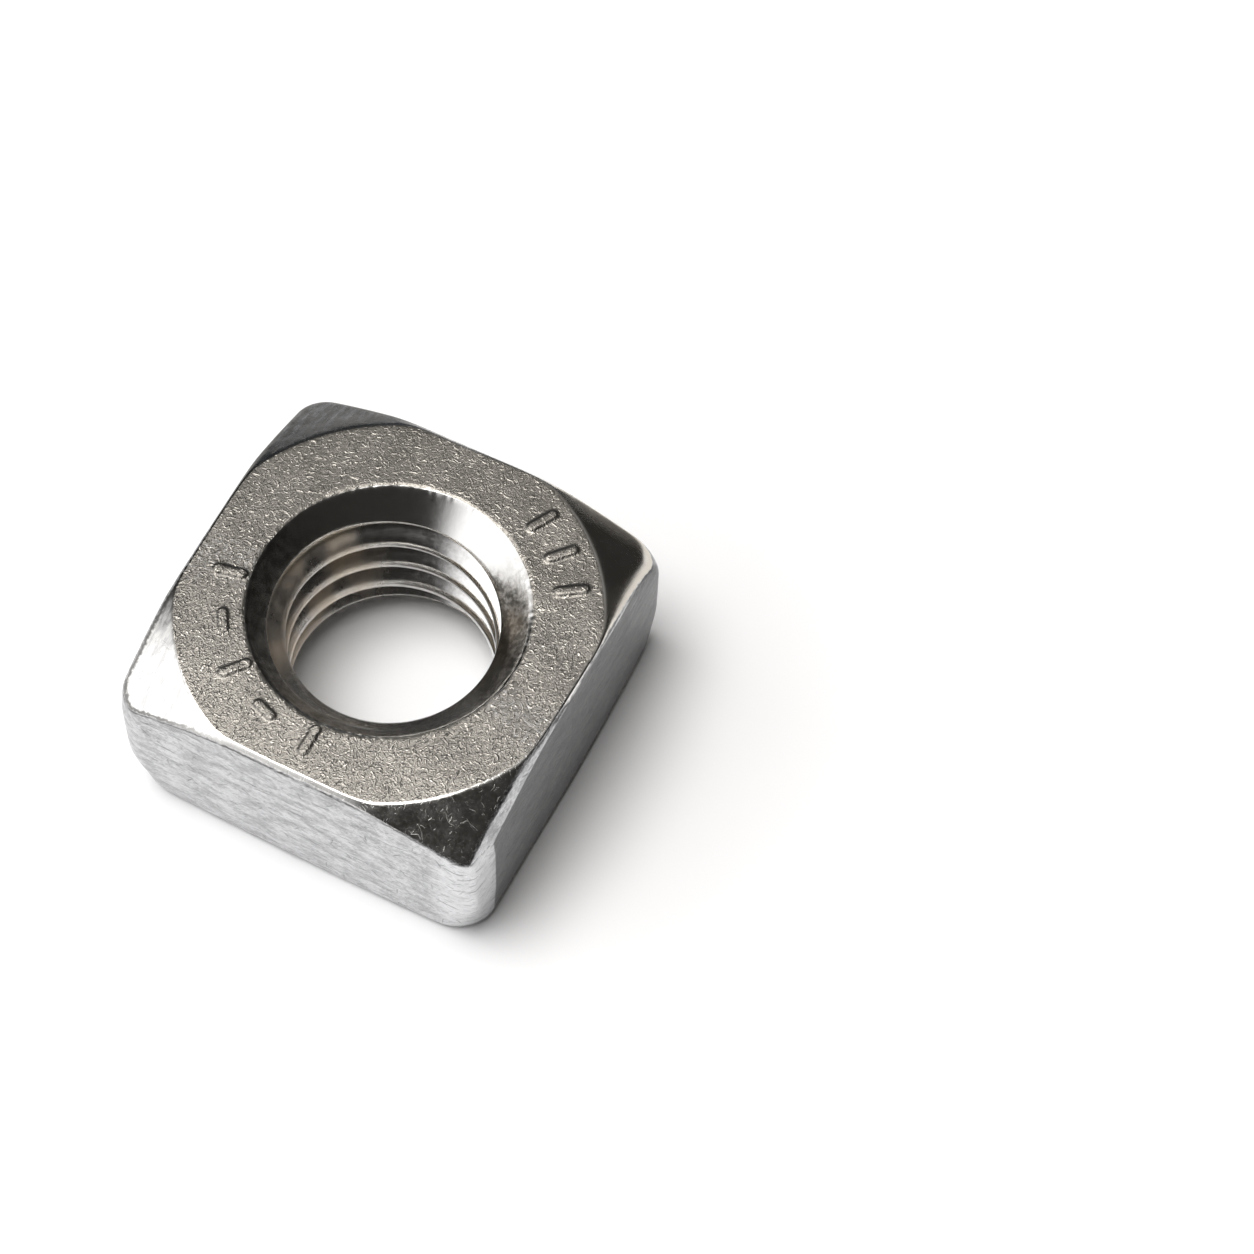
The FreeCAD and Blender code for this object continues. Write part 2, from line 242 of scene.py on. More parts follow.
def build_nut():
    th = np.arange(N_TH) * (2 * math.pi / N_TH)
    rim = rim_radius(th)
    # ---- outside: cast rays from a point inside the wall, in each upright half-plane
    t = np.linspace(-1, 1, 1600)
    phi = np.sign(-t) * (np.abs(t) ** 0.9) * (math.pi / 2)      # +90 down to -90 degrees
    T, P = np.meshgrid(th, phi, indexing="ij")
    R0 = rim[:, None] * np.ones_like(P)
    cz, sz = np.cos(P), np.sin(P)
    lo, hi = np.zeros_like(P), np.full_like(P, 7.0)
    for _ in range(34):
        mid = (lo + hi) / 2
        inside = outer(T, R0 + mid * cz, THICK / 2 + mid * sz) < 0
        lo = np.where(inside, mid, lo)
        hi = np.where(inside, hi, mid)
    t = (lo + hi) / 2
    R, Z = R0 + t * cz, THICK / 2 + t * sz
    # ---- choose rows along each line: close together on the top face and where it turns
    dr, dz = np.diff(R, axis=1), np.diff(Z, axis=1)
    ds = np.hypot(dr, dz)
    ang = np.unwrap(np.arctan2(dz, dr), axis=1)
    turn = np.zeros_like(ds)
    turn[:, 1:-1] = np.abs(ang[:, 2:] - ang[:, :-2]) / 2
    rm, zm = (R[:, 1:] + R[:, :-1]) / 2, (Z[:, 1:] + Z[:, :-1]) / 2
    up = zm > THICK - 0.03
    dens = np.where(up, np.where(rm < rim[:, None] + 0.10, 45.0, np.where(rm < 4.95, 25.0, 17.0)), np.where(zm > 3.0, 8.0, 3.0))
    dens = np.where(zm < 0.02, 2.2, dens)
    w = ds * dens + turn / math.radians(9.0)
    k = np.ones(9) / 9.0
    W = np.concatenate([np.zeros((N_TH, 1)), np.cumsum(w, axis=1)], axis=1)
    tgt = np.linspace(0, 1, N_OUT + 1)
    Ro, Zo, To = np.empty((N_TH, N_OUT + 1)), np.empty((N_TH, N_OUT + 1)), np.empty((N_TH, N_OUT + 1))
    # the top face ends where the surface has tipped 10 degrees, the flats start where it has tipped 60
    slope = np.concatenate([ang[:, :1], (ang[:, 1:] + ang[:, :-1]) / 2, ang[:, -1:]], axis=1)
    flat_r, side_z = np.empty(N_TH), np.empty(N_TH)
    for i in range(N_TH):
        s = W[i] / W[i, -1]
        Ro[i], Zo[i] = np.interp(tgt, s, R[i]), np.interp(tgt, s, Z[i])
        flat_r[i] = tips(slope[i], R[i], 10.0)
        around = th[i] - 2 * math.pi * (th[i] > math.pi)
        steep = 60.0 - 22.0 * float(sstep(-1.15, -0.85, around) * (1 - sstep(-0.3, 0.0, around)))
        steep -= 22.0 * float(sstep(-3.30, -3.05, around) * (1 - sstep(-2.50, -2.30, around)))
        side_z[i] = tips(slope[i], Z[i], steep)
    ThO = np.repeat(th[:, None], N_OUT + 1, axis=1)
    X, Y = Ro * np.cos(ThO), Ro * np.sin(ThO)
    # ---- raised marks, a burnished lip at the countersink, and a little unevenness
    top = sstep(THICK - 0.02, THICK - 0.002, Zo) * (Ro > rim[:, None] + 1e-4)
    d = mark_distance(X, Y)
    Zo = Zo + top * MARK_H * (1 - sstep(-0.035, 0.035, d))
    lip = lip_width(th)
    drop = 0.225 * lip
    near = np.maximum(lip[:, None] - (Ro - rim[:, None]), 0.0)
    Zo = Zo - (Zo > THICK - 0.01) * 0.225 * near ** 2 / lip[:, None]
    skin = waves(31, 12, 0.15, 0.7, X, Y, Zo)
    push = 0.0022 * skin
    Zo = np.where(top > 0.5, Zo + 0.0015 * waves(32, 10, 0.2, 0.9, X, Y), Zo)
    side = sstep(0.3, 1.0, Zo) * (1 - top)
    Ro = Ro - side * np.abs(push)
    # ---- inside: countersink, right-hand thread, countersink
    ThI, S = np.meshgrid(th, np.linspace(0, 1, 1601), indexing="ij")
    ZI = (THICK - drop[:, None]) * (1 - S)
    RI = bore_r(ThI, ZI, rim[:, None], drop[:, None])[0]
    dri, dzi = np.diff(RI, axis=1), np.diff(ZI, axis=1)
    dsi = np.hypot(dri, dzi)
    angi = np.unwrap(np.arctan2(dzi, dri), axis=1)
    turni = np.zeros_like(dsi)
    turni[:, 1:-1] = np.abs(angi[:, 2:] - angi[:, :-2]) / 2
    zmi = (ZI[:, 1:] + ZI[:, :-1]) / 2
    wi = dsi * np.where(zmi < 1.2, 4.0, 7.5) + turni / math.radians(20.0)
    Ri, Zi = np.empty((N_TH, N_IN + 1)), np.empty((N_TH, N_IN + 1))
    tgi = np.linspace(0, 1, N_IN + 1)
    for i in range(N_TH):
        s = np.concatenate([[0], np.cumsum(wi[i])])
        s /= s[-1]
        Zi[i] = np.interp(tgi, s, ZI[i])
        Ri[i] = np.interp(tgi, s, RI[i])
    Zi[:, 0] = Zo[:, 0]
    ThIn = np.repeat(th[:, None], N_IN + 1, axis=1)
    _, rt, rc = bore_r(ThIn, Zi, rim[:, None], drop[:, None])
    cone = rc - rt
    # one closed ring of rows: outside from the top rim to the bottom rim, then inside upward
    Rall = np.concatenate([Ro[:, :-1], Ri[:, ::-1][:, :-1]], axis=1)
    Zall = np.concatenate([Zo[:, :-1], Zi[:, ::-1][:, :-1]], axis=1)
    Tall = np.concatenate([ThO[:, :-1], ThIn[:, ::-1][:, :-1]], axis=1)
    M = Rall.shape[1]
    Xa, Ya = Rall * np.cos(Tall), Rall * np.sin(Tall)
    co = np.stack([Xa, Ya, Zall], axis=-1).reshape(-1, 3) / 1000.0
    ii, jj = np.meshgrid(np.arange(N_TH), np.arange(M), indexing="ij")
    i2, j2 = (ii + 1) % N_TH, (jj + 1) % M
    quads = np.stack([ii * M + jj, ii * M + j2, i2 * M + j2, i2 * M + jj], axis=-1).reshape(-1, 4)
    mesh = bpy.data.meshes.new("square_nut_body")
    mesh.vertices.add(len(co))
    mesh.vertices.foreach_set("co", co.ravel())
    mesh.loops.add(quads.size)
    mesh.loops.foreach_set("vertex_index", quads.ravel().astype(np.int32))
    mesh.polygons.add(len(quads))
    mesh.polygons.foreach_set("loop_start", (np.arange(len(quads)) * 4).astype(np.int32))
    mesh.polygons.foreach_set("loop_total", np.full(len(quads), 4, dtype=np.int32))
    mesh.polygons.foreach_set("use_smooth", np.ones(len(quads), dtype=bool))
    inner_face = (jj >= N_OUT).reshape(-1)
    mesh.polygons.foreach_set("material_index", inner_face.astype(np.int32))
    mesh.update(calc_edges=True)
    mesh.validate()

    def put(name, values):
        a = mesh.attributes.new(name, "FLOAT", "POINT")
        a.data.foreach_set("value", np.ascontiguousarray(values, dtype=np.float32).ravel())

    pad = np.zeros((N_TH, N_IN))
    # millimetres inside the edge of the top face, below the top edge of a flat, and along the outline
    put("in_top", np.concatenate([(flat_r[:, None] - Ro)[:, :-1] - 4.0 * (Zo[:, :-1] < 2.5), pad], axis=1))
    put("below_edge", np.concatenate([(side_z[:, None] - Zo)[:, :-1], pad], axis=1))
    put("mark", np.concatenate([d[:, :-1], pad + 9], axis=1))
    put("on_cone", np.concatenate([np.zeros((N_TH, N_OUT)), cone[:, ::-1][:, :-1]], axis=1))
    # distance along the outline, measured at mid height, restarting at 0 on +X
    jm = int(np.argmin(np.abs(Zo[0] - 2.5)))
    xm, ym = X[:, jm], Y[:, jm]
    step = np.hypot(np.diff(np.append(xm, xm[0])), np.diff(np.append(ym, ym[0])))
    along = np.concatenate([[0], np.cumsum(step)[:-1]])
    put("along", np.repeat(along[:, None], M, axis=1))
    obj = bpy.data.objects.new("square_nut_body", mesh)
    bpy.context.scene.collection.objects.link(obj)
    return obj


# ------------------------------------------------------------------ node helpers
class Tree:
    def __init__(self, tree):
        self.t = tree
        self.n = tree.nodes
        self.l = tree.links
        self.x = 0

    def node(self, kind, **props):
        n = self.n.new(kind)
        self.x += 40
        n.location = (self.x, -(self.x * 7) % 900)
        for k, v in props.items():
            setattr(n, k, v)
        return n

    def put(self, socket, value):
        if isinstance(value, bpy.types.NodeSocket):
            self.l.new(value, socket)
        elif value is not None:
            socket.default_value = value

    def math(self, op, a, b=None, c=None, clamp=False):
        n = self.node("ShaderNodeMath", operation=op, use_clamp=clamp)
        for s, v in zip(n.inputs, (a, b, c)):
            self.put(s, v)
        return n.outputs[0]

    def vmath(self, op, a, b=None, scale=None):
        n = self.node("ShaderNodeVectorMath", operation=op)
        self.put(n.inputs[0], a)
        if b is not None:
            self.put(n.inputs[1], b)
        if scale is not None:
            self.put(n.inputs["Scale"], scale)
        return n.outputs["Value"] if op in ("DOT_PRODUCT", "LENGTH", "DISTANCE") else n.outputs["Vector"]

    def range(self, v, a, b, c=0.0, d=1.0, smooth=True):
        n = self.node("ShaderNodeMapRange", interpolation_type="SMOOTHSTEP" if smooth else "LINEAR", clamp=True)
        for s, x in zip(n.inputs, (v, a, b, c, d)):
            self.put(s, x)
        return n.outputs[0]

    def noise(self, vec, scale, detail=2.0, rough=0.5, distortion=0.0, dims="3D"):
        n = self.node("ShaderNodeTexNoise", noise_dimensions=dims)
        self.put(n.inputs["Vector"], vec)
        n.inputs["Scale"].default_value = scale
        n.inputs["Detail"].default_value = detail
        n.inputs["Roughness"].default_value = rough
        n.inputs["Distortion"].default_value = distortion
        return n.outputs["Fac"]

    def combine(self, x, y, z=0.0):
        n = self.node("ShaderNodeCombineXYZ")
        for s, v in zip(n.inputs, (x, y, z)):
            self.put(s, v)
        return n.outputs[0]

    def separate(self, v):
        n = self.node("ShaderNodeSeparateXYZ")
        self.put(n.inputs[0], v)
        return n.outputs

    def attr(self, name):
        return self.node("ShaderNodeAttribute", attribute_name=name, attribute_type="GEOMETRY").outputs["Fac"]

    def mixf(self, f, a, b):
        n = self.node("ShaderNodeMix", data_type="FLOAT", clamp_factor=True)
        self.put(n.inputs[0], f)
        self.put(n.inputs[2], a)
        self.put(n.inputs[3], b)
        return n.outputs[0]

    def mixc(self, f, a, b, mode="MIX"):
        n = self.node("ShaderNodeMix", data_type="RGBA", blend_type=mode, clamp_factor=True)
        self.put(n.inputs[0], f)
        self.put(n.inputs[6], a if isinstance(a, bpy.types.NodeSocket) else (*a, 1.0))
        self.put(n.inputs[7], b if isinstance(b, bpy.types.NodeSocket) else (*b, 1.0))
        return n.outputs[2]

    def bump(self, height, distance, strength=1.0, normal=None):
        n = self.node("ShaderNodeBump")
        n.inputs["Strength"].default_value = strength
        n.inputs["Distance"].default_value = distance
        self.put(n.inputs["Height"], height)
        if normal is not None:
            self.put(n.inputs["Normal"], normal)
        return n.outputs[0]

    def scratches(self, uv, cells, width, length, bend=0.0, keep=1.0, spread=1.0, turn=0.0, shift=(0.0, 0.0, 0.0)):
        """Short strokes, one to a cell, each at its own angle.  uv in mm, cells per mm, width and length in cells.
        spread 1 lets strokes lie any way, 0 makes them all lie along x.  Gives 1 on a stroke and 0 off it."""
        p = self.vmath("MULTIPLY_ADD", uv, (cells, cells, cells))
        p.node.inputs[2].default_value = shift
        v = self.node("ShaderNodeTexVoronoi", voronoi_dimensions="2D", feature="F1")
        self.put(v.inputs["Vector"], p)
        v.inputs["Scale"].default_value = 1.0
        c = self.separate(v.outputs["Color"])
        d = self.vmath("SUBTRACT", p, v.outputs["Position"])
        rot = self.node("ShaderNodeVectorRotate", rotation_type="Z_AXIS")
        self.put(rot.inputs["Vector"], d)
        ang = self.math("MULTIPLY_ADD", self.math("SUBTRACT", c[0], 0.5), 6.2832 * spread, turn)
        self.put(rot.inputs["Angle"], ang)
        q = self.separate(rot.outputs[0])
        y = q[1]
        if bend:
            cur = self.math("MULTIPLY", self.math("SUBTRACT", c[1], 0.5), bend)
            y = self.math("MULTIPLY_ADD", self.math("MULTIPLY", q[0], q[0]), cur, y)
        line = self.range(self.math("ABSOLUTE", y), width, width * 0.25)
        ends = self.range(self.math("ABSOLUTE", q[0]), length, length * 0.55)
        m = self.math("MULTIPLY", line, ends)
        m = self.math("MULTIPLY", m, self.range(c[2], keep, keep * 0.25, smooth=False))
        return m, c


def new_material(name):
    m = bpy.data.materials.new(name)
    m.use_nodes = True
    m.node_tree.nodes.clear()
    t = Tree(m.node_tree)
    out = t.node("ShaderNodeOutputMaterial")
    b = t.node("ShaderNodeBsdfPrincipled")
    t.l.new(b.outputs[0], out.inputs[0])
    b.inputs["Metallic"].default_value = 1.0
    return m, t, b


def metal(t, b, colour, rough, normal):
    if b is None:
        b = t.node("ShaderNodeBsdfPrincipled")
        b.inputs["Metallic"].default_value = 1.0
    t.put(b.inputs["Base Color"], colour)
    t.put(b.inputs["Roughness"], rough)
    t.put(b.inputs["Normal"], normal)
    return b


def outside_material():
    """Tumbled top face, polished corner bevels and brushed flats, on one piece of stainless steel."""
    m, t, first = new_material("steel_outside")
    out = m.node_tree.nodes[0]
    pos = t.vmath("SCALE", t.node("ShaderNodeTexCoord").outputs["Object"], scale=1000.0)      # mm
    in_top, below, along = t.attr("in_top"), t.attr("below_edge"), t.attr("along")
    xyz = t.separate(pos)
    ragged = t.noise(pos, 9.0, 3.0, 0.6)
    jag = t.math("MULTIPLY", t.math("SUBTRACT", ragged, 0.5), 0.07)
    top = t.range(t.math("ADD", in_top, jag), -0.012, 0.018)
    side = t.range(t.math("ADD", below, t.math("MULTIPLY", jag, 1.3)), -0.03, 0.03)
    flat = t.combine(xyz[0], xyz[1])

    # -- top face
    warp = t.node("ShaderNodeTexNoise", noise_dimensions="2D")
    t.put(warp.inputs["Vector"], flat)
    warp.inputs["Scale"].default_value = 3.0
    warp.inputs["Detail"].default_value = 1.0
    w3 = t.vmath("SCALE", t.vmath("SUBTRACT", warp.outputs["Color"], (0.5, 0.5, 0.5)), scale=0.16)
    fw = t.vmath("ADD", flat, w3)
    s1, _ = t.scratches(fw, 8.2, 0.16, 0.46, bend=2.4, keep=0.95)
    s2, _ = t.scratches(fw, 7.6, 0.18, 0.46, bend=2.6, keep=0.95, shift=(7.3, 1.9, 0))
    s4, _ = t.scratches(fw, 4.4, 0.13, 0.46, bend=2.4, keep=0.80, shift=(13.7, 4.4, 0))
    fine = t.noise(flat, 26.0, 2.0, 0.65, dims="2D")
    grit = t.noise(flat, 12.0, 2.0, 0.6, distortion=1.2, dims="2D")
    cloud = t.noise(flat, 0.9, 3.0, 0.6, dims="2D")
    h = t.math("MULTIPLY", s1, -1.3)
    h = t.math("MULTIPLY_ADD", s2, 1.7, h)
    h = t.math("MULTIPLY_ADD", s4, 2.0, h)
    h = t.math("MULTIPLY_ADD", t.math("SUBTRACT", fine, 0.5), 1.3, h)
    h = t.math("MULTIPLY_ADD", t.math("SUBTRACT", grit, 0.5), 2.0, h)
    h = t.math("MULTIPLY", h, t.range(xyz[1], 3.8, -2.5, 0.50, 1.12))
    top_n = t.bump(h, 4.8e-6, 1.0)
    scratches_and_painted_glints = t.math("MULTIPLY", t.math("MAXIMUM", s2, s4), t.range(xyz[1], 3.8, -1.5, 0.45, 1.0))
    top_r = t.math("MULTIPLY_ADD", t.math("SUBTRACT", fine, 0.5), 0.22, TOP_ROUGH)
    top_r = t.math("SUBTRACT", top_r, t.math("MULTIPLY", scratches_and_painted_glints, 0.07))
    top_c = t.mixc(t.range(cloud, 0.32, 0.68), tuple(0.86 * v for v in TOP_COLOUR), tuple(1.14 * v for v in TOP_COLOUR))
    # painted light: the top face is made lighter towards the front and darker towards the left and back
    top_c = t.mixc(t.range(xyz[1], -0.5, -4.6, 0.0, 0.36), top_c, tuple(1.9 * v for v in TOP_COLOUR))
    top_c = t.mixc(t.range(t.math("SUBTRACT", t.math("MULTIPLY", xyz[1], 0.4), xyz[0]), 1.2, 4.4, 0.0, 0.34), top_c, tuple(0.5 * v for v in TOP_COLOUR))
    # the lighter scratches get a painted glint: their colour is raised well above the face's own; their lower roughness
    # is real
    top_c = t.mixc(t.math("MULTIPLY", scratches_and_painted_glints, 0.80), top_c, tuple(min(0.9, 2.6 * v) for v in TOP_COLOUR))
    top_c = t.mixc(t.math("MULTIPLY", s1, 0.50), top_c, tuple(0.42 * v for v in TOP_COLOUR))
    # painted shade: a dark outline round the foot of each raised bar
    rimmed = t.range(t.math("ABSOLUTE", t.math("ADD", t.attr("mark"), 0.004)), 0.045, 0.015)
    top_c = t.mixc(t.math("MULTIPLY", rimmed, 0.55), top_c, (0.07, 0.066, 0.060))
    top_b = metal(t, None, top_c, top_r, top_n)

    # -- bevels
    b1, _ = t.scratches(fw, 1.9, 0.018, 0.42, bend=0.7, keep=0.60, shift=(2.2, 5.1, 0))
    b2, _ = t.scratches(fw, 4.2, 0.040, 0.34, bend=1.0, keep=0.90, shift=(9.2, 3.3, 0))
    b3, _ = t.scratches(fw, 8.0, 0.085, 0.36, bend=1.4, keep=0.95, shift=(4.2, 6.3, 0))
    specks = t.noise(flat, 11.0, 3.0, 0.65, dims="2D")
    smear = t.noise(flat, 1.6, 4.0, 0.62, dims="2D")
    patch = t.range(smear, 0.42, 0.62)
    nicks = t.math("MAXIMUM", b1, t.math("MAXIMUM", b2, t.math("MULTIPLY", b3, t.math("MULTIPLY_ADD", patch, 0.7, 0.3))))
    worn = t.range(t.math("ADD", xyz[0], xyz[1]), 7.0, 4.0, 0.12, 1.0)
    nicks = t.math("MULTIPLY", nicks, worn)
    bh = t.math("MULTIPLY_ADD", nicks, -1.0, t.math("MULTIPLY", t.noise(pos, 1.1, 2.0, 0.5), 9.0))
    bev_n = t.bump(bh, 1.2e-6, 1.0)
    hazy = t.math("MULTIPLY", worn, t.math("ADD", smear, t.math("MULTIPLY", t.math("SUBTRACT", specks, 0.5), 0.7)))
    bev_r = t.math("MAXIMUM", t.math("MULTIPLY_ADD", hazy, 0.22, 0.07), 0.05)
    bev_r = t.math("MULTIPLY_ADD", nicks, 0.17, bev_r)
    bev_c = t.mixc(patch, (0.80, 0.785, 0.755), (0.86, 0.85, 0.825))
    # painted reflection: the bevels towards the back corner get a dark blue-grey, darkest next to the top face, for the
    # dark surroundings they reflect
    away = t.range(t.math("SUBTRACT", xyz[1], xyz[0]), 5.6, 7.4)
    back_bevel_painted_dark = t.mixc(t.range(in_top, -0.20, -0.75), (0.13, 0.132, 0.137), (0.36, 0.372, 0.395))
    bev_c = t.mixc(t.math("MULTIPLY", away, 0.90), bev_c, back_bevel_painted_dark)
    left_back_painted_dark = t.math("MULTIPLY", t.range(xyz[0], -1.0, -3.2), t.range(t.math("ADD", xyz[1], t.math("MULTIPLY", smear, 1.6)), -2.8, -1.2))
    drag = t.noise(t.vmath("MULTIPLY", pos, (5.0, 1.1, 1.0)), 1.5, 4.0, 0.65)
    bev_c = t.mixc(t.math("MULTIPLY", t.range(xyz[0], -2.2, -3.4), t.range(drag, 0.44, 0.66)), bev_c, (0.615, 0.61, 0.595))
    # painted shade: the back half of the left-hand bevels is darkened in streaks, standing in for a dark reflection
    bev_c = t.mixc(t.math("MULTIPLY", left_back_painted_dark, t.range(drag, 0.36, 0.58, 0.62, 0.96)), bev_c, (0.105, 0.102, 0.096))
    rim = t.range(t.math("ABSOLUTE", t.math("ADD", t.math("MULTIPLY_ADD", jag, 1.8, below), 0.035)), 0.055, 0.012)
    rim = t.math("MULTIPLY", rim, t.range(t.math("SUBTRACT", xyz[0], t.math("MULTIPLY", xyz[1], 0.3)), 1.0, -2.5))
    bev_c = t.mixc(t.math("MULTIPLY", rim, 0.85), bev_c, (0.10, 0.098, 0.092))
    # painted highlight: a cream colour along the rounded ridge near the right corner stands in for the bright streak it
    # reflects; the ridge is also made rougher
    ridge = t.math("MULTIPLY", t.range(below, -0.55, -0.05), t.range(t.math("ADD", xyz[0], xyz[1]), 5.5, 8.0))
    bev_r = t.math("MULTIPLY_ADD", ridge, 0.24, bev_r)
    bev_c = t.mixc(t.math("MULTIPLY", ridge, 0.8), bev_c, (0.66, 0.61, 0.53))
    bev_b = metal(t, first, bev_c, bev_r, bev_n)

    # -- flats: brushed along their length
    uv = t.combine(along, xyz[2])
    streak = t.noise(t.vmath("MULTIPLY", uv, (1.2, 7.5, 1.0)), 2.2, 4.0, 0.62, dims="2D")
    streak2 = t.noise(t.vmath("MULTIPLY", uv, (5.0, 17.0, 1.0)), 1.8, 3.0, 0.65, dims="2D")
    f1, _ = t.scratches(uv, 1.3, 0.040, 0.46, bend=0.20, keep=0.9, spread=0.05, shift=(4.4, 2.2, 0))
    f2, _ = t.scratches(uv, 3.0, 0.095, 0.42, bend=0.6, keep=0.8, spread=0.14, shift=(1.4, 7.2, 0))
    f3, _ = t.scratches(uv, 2.0, 0.050, 0.36, bend=0.8, keep=0.5, spread=1.0, shift=(5.4, 1.2, 0))
    f4, _ = t.scratches(uv, 6.0, 0.190, 0.40, bend=1.0, keep=0.8, spread=0.30, shift=(2.6, 3.9, 0))
    lines = t.math("MAXIMUM", t.math("MAXIMUM", f1, t.math("MULTIPLY", f2, 0.8)), t.math("MAXIMUM", f3, t.math("MULTIPLY", f4, 0.45)))
    sh = t.math("MULTIPLY_ADD", t.math("SUBTRACT", streak, 0.5), 3.0, t.math("MULTIPLY", t.math("SUBTRACT", streak2, 0.5), 2.4))
    sh = t.math("MULTIPLY_ADD", lines, -1.5, sh)
    side_n = t.bump(sh, 3.6e-6, 1.0)
    side_r = t.math("MULTIPLY_ADD", streak, 0.24, 0.18)
    blot = t.noise(t.vmath("MULTIPLY", uv, (1.0, 2.5, 1.0)), 1.3, 4.0, 0.65, dims="2D")
    tone = t.math("MULTIPLY_ADD", streak2, 0.45, t.math("MULTIPLY", blot, 0.55))
    side_c = t.mixc(t.range(tone, 0.36, 0.62), (0.37, 0.373, 0.381), (0.69, 0.693, 0.702))
    # the sheared flat lies under the narrow facet and behind the canted strip
    out2 = t.math("SQRT", t.math("MULTIPLY_ADD", xyz[1], xyz[1], 25.0))
    rise = t.math("MAXIMUM", t.math("MULTIPLY", t.math("SUBTRACT", out2, 5.10), 0.5), 0.0)
    low = t.math("SUBTRACT", t.math("SUBTRACT", THICK, rise), t.range(xyz[1], -1.2, -4.6, 0.14, 0.36))
    rag = t.math("MULTIPLY", jag, 0.5)
    on_flat = t.math("MINIMUM", t.math("ADD", xyz[1], SHEAR_Y), t.math("SUBTRACT", low, xyz[2]))
    sheared = t.math("MULTIPLY", t.range(xyz[0], 4.80, 4.90), t.range(t.math("ADD", on_flat, rag), -0.02, 0.03))
    strip = t.math("MULTIPLY", t.range(t.math("SUBTRACT", xyz[0], xyz[1]), 8.6, 9.2), t.math("SUBTRACT", 1.0, sheared))
    # painted highlight: the canted strip at the front corner is made lighter to stand in for the bright floor it
    # reflects
    side_c = t.mixc(t.math("MULTIPLY", strip, 0.6), side_c, (0.80, 0.805, 0.82))
    side_c = t.mixc(t.math("MULTIPLY", lines, 0.66), side_c, (0.10, 0.10, 0.105))
    seam = t.range(t.math("ABSOLUTE", t.math("SUBTRACT", t.math("MULTIPLY_ADD", jag, 1.6, below), 0.05)), 0.05, 0.012)
    seam = t.math("MULTIPLY", seam, t.range(t.noise(pos, 2.3, 3.0, 0.6), 0.36, 0.56, 0.35, 1.0))
    side_c = t.mixc(t.math("MULTIPLY", seam, 0.85), side_c, (0.08, 0.078, 0.075))
    # painted shade: a near-black colour on the sheared flat towards +X stands in for the dark reflection it shows
    side_c = t.mixc(t.math("MULTIPLY", sheared, SHEAR_PAINTED_SHADE), side_c, (0.05, 0.05, 0.05))
    side_b = metal(t, None, side_c, side_r, side_n)

    mix1 = t.node("ShaderNodeMixShader")
    t.put(mix1.inputs[0], top)
    t.l.new(bev_b.outputs[0], mix1.inputs[1])
    t.l.new(top_b.outputs[0], mix1.inputs[2])
    mix2 = t.node("ShaderNodeMixShader")
    t.put(mix2.inputs[0], side)
    t.l.new(mix1.outputs[0], mix2.inputs[1])
    t.l.new(side_b.outputs[0], mix2.inputs[2])
    t.l.new(mix2.outputs[0], out.inputs[0])
    return m


